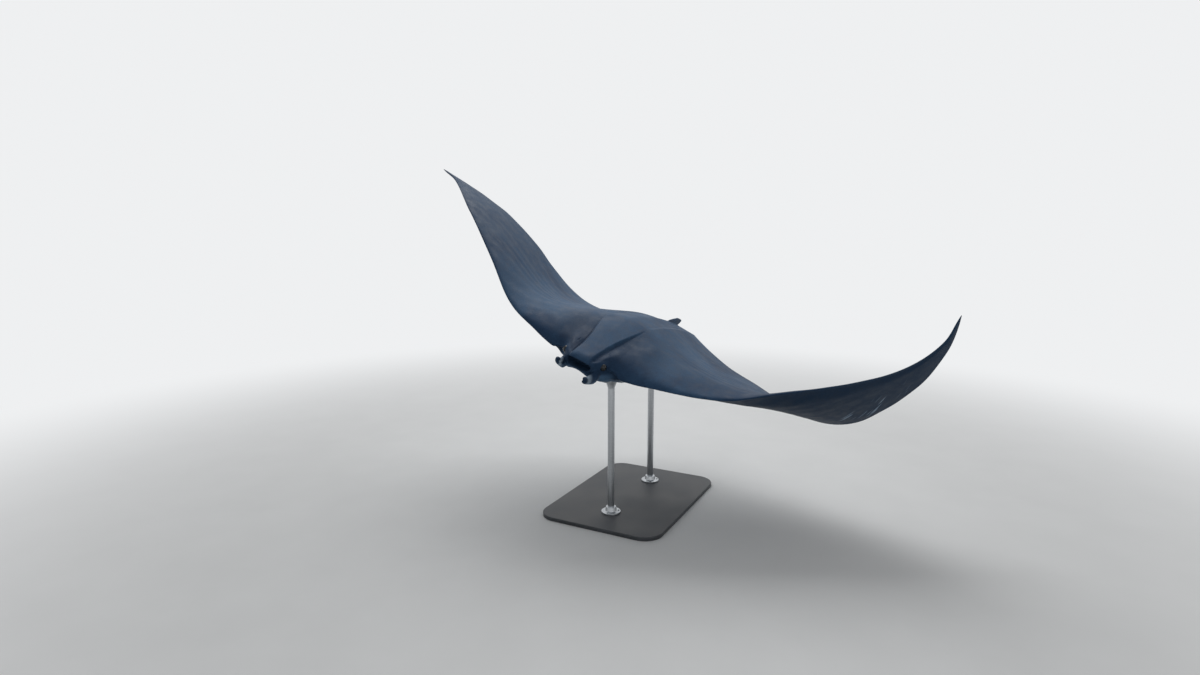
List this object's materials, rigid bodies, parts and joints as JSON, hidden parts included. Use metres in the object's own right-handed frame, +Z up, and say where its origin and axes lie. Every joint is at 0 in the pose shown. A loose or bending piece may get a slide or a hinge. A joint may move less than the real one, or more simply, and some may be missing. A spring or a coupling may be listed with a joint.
{
  "type": "manta ray display model",
  "caption": "Still, life-size reef manta ray in a banking swim with both wings raised, on a flat display base with two upright rods.",
  "frame": {"origin": "middle of the underside of the stand's base, on the floor", "axes": "+Z up; the ray swims toward -Y; its left wing is on +X"},
  "size_m": [3.391, 2.49, 2.192],
  "materials": {
    "skin": "dark slate-blue sharkskin above, white below with dark spots, with a wet sheen",
    "pale_skin": "smooth pale blue-grey inner faces with dark outer faces and ends, with a wet sheen",
    "eye": "glossy, near black",
    "stand_paint": "satin graphite paint",
    "stand_steel": "brushed"
  },
  "bodies": {
    "root": {"head": "skin", "trunk": "skin", "wing_left_inner": "skin", "wing_left_outer": "skin", "wing_right_inner": "skin", "wing_right_outer": "skin", "cephalic_fin_left": "pale_skin", "cephalic_fin_right": "pale_skin", "eye_left": "eye", "eye_right": "eye", "dorsal_fin": "skin", "pelvic_fin_left": "skin", "pelvic_fin_right": "skin", "tail_base": "skin", "tail_middle": "skin", "tail_tip": "skin", "stand_base": "stand_paint", "stand_rod_front": "stand_steel", "stand_rod_rear": "stand_steel", "stand_collar_front": "stand_steel", "stand_collar_rear": "stand_steel"}
  },
  "joints": []
}
